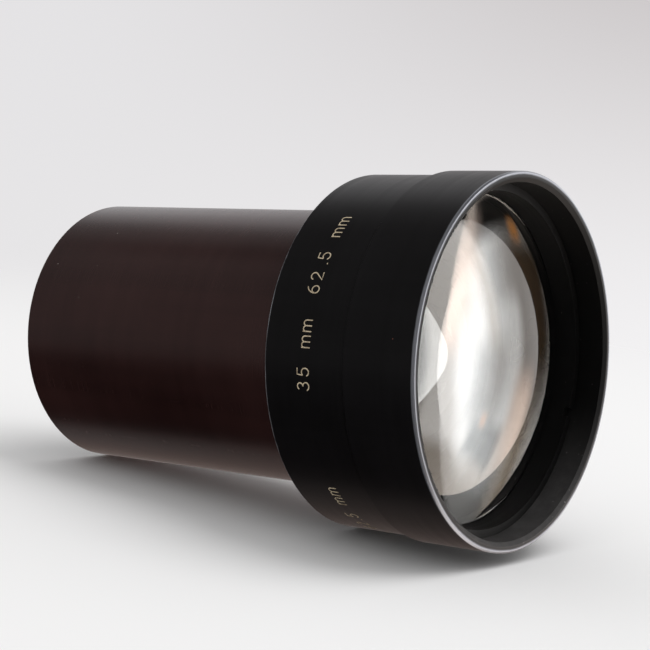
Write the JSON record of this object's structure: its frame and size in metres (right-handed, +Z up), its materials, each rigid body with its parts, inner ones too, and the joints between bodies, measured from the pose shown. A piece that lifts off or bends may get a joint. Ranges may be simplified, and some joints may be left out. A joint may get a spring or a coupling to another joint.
{
  "type": "projection lens",
  "caption": "Cinema projection lens: a plain clamped barrel, a wider engraved head and hood, and glass elements held in cells by screwed rings.",
  "frame": {"origin": "on the optical axis at the shoulder, where the rear face of the head meets the barrel", "axes": "+Y along the optical axis from the front glass towards the barrel's rear end, +Z up as the lens lies in the picture, +X completes the right-hand frame"},
  "size_m": [0.0806, 0.1171, 0.0806],
  "materials": {
    "barrel_anodised": "dark anodised, faded to a brown black, fine turned lines, satin",
    "head_black": "black anodised, satin, worn bare along its rear edge",
    "hood_black": "black anodised, satin, rim worn to a grey sheen",
    "ring_matt_black": "black anodised, matt",
    "inner_matt_black": "matt black against stray light",
    "cell_black": "black anodised",
    "crown_glass": "polished optical glass, single coated",
    "flint_glass": "polished optical flint glass",
    "shim_brass": "rolled brass shim",
    "screw_steel": "bright slotted screws",
    "screw_black": "blackened slotted grub screw"
  },
  "bodies": {
    "root": {"barrel_tube": "barrel_anodised", "head_sleeve": "head_black", "front_cell": "hood_black", "front_retaining_ring": "ring_matt_black", "front_element": "crown_glass", "doublet_retaining_ring": "ring_matt_black", "front_doublet_crown": "crown_glass", "front_doublet_flint": "flint_glass", "flange_screws": "screw_steel", "lock_screw": "screw_black", "spacer_tube": "inner_matt_black", "shim_ring": "shim_brass", "stop_plate": "inner_matt_black", "stop_plate_screws": "screw_steel", "rear_cell": "cell_black", "rear_doublet_flint": "flint_glass", "rear_doublet_crown": "crown_glass", "rear_spacer_ring": "inner_matt_black", "rear_element": "crown_glass", "rear_retaining_ring": "ring_matt_black", "cell_lock_ring": "ring_matt_black"}
  },
  "joints": []
}
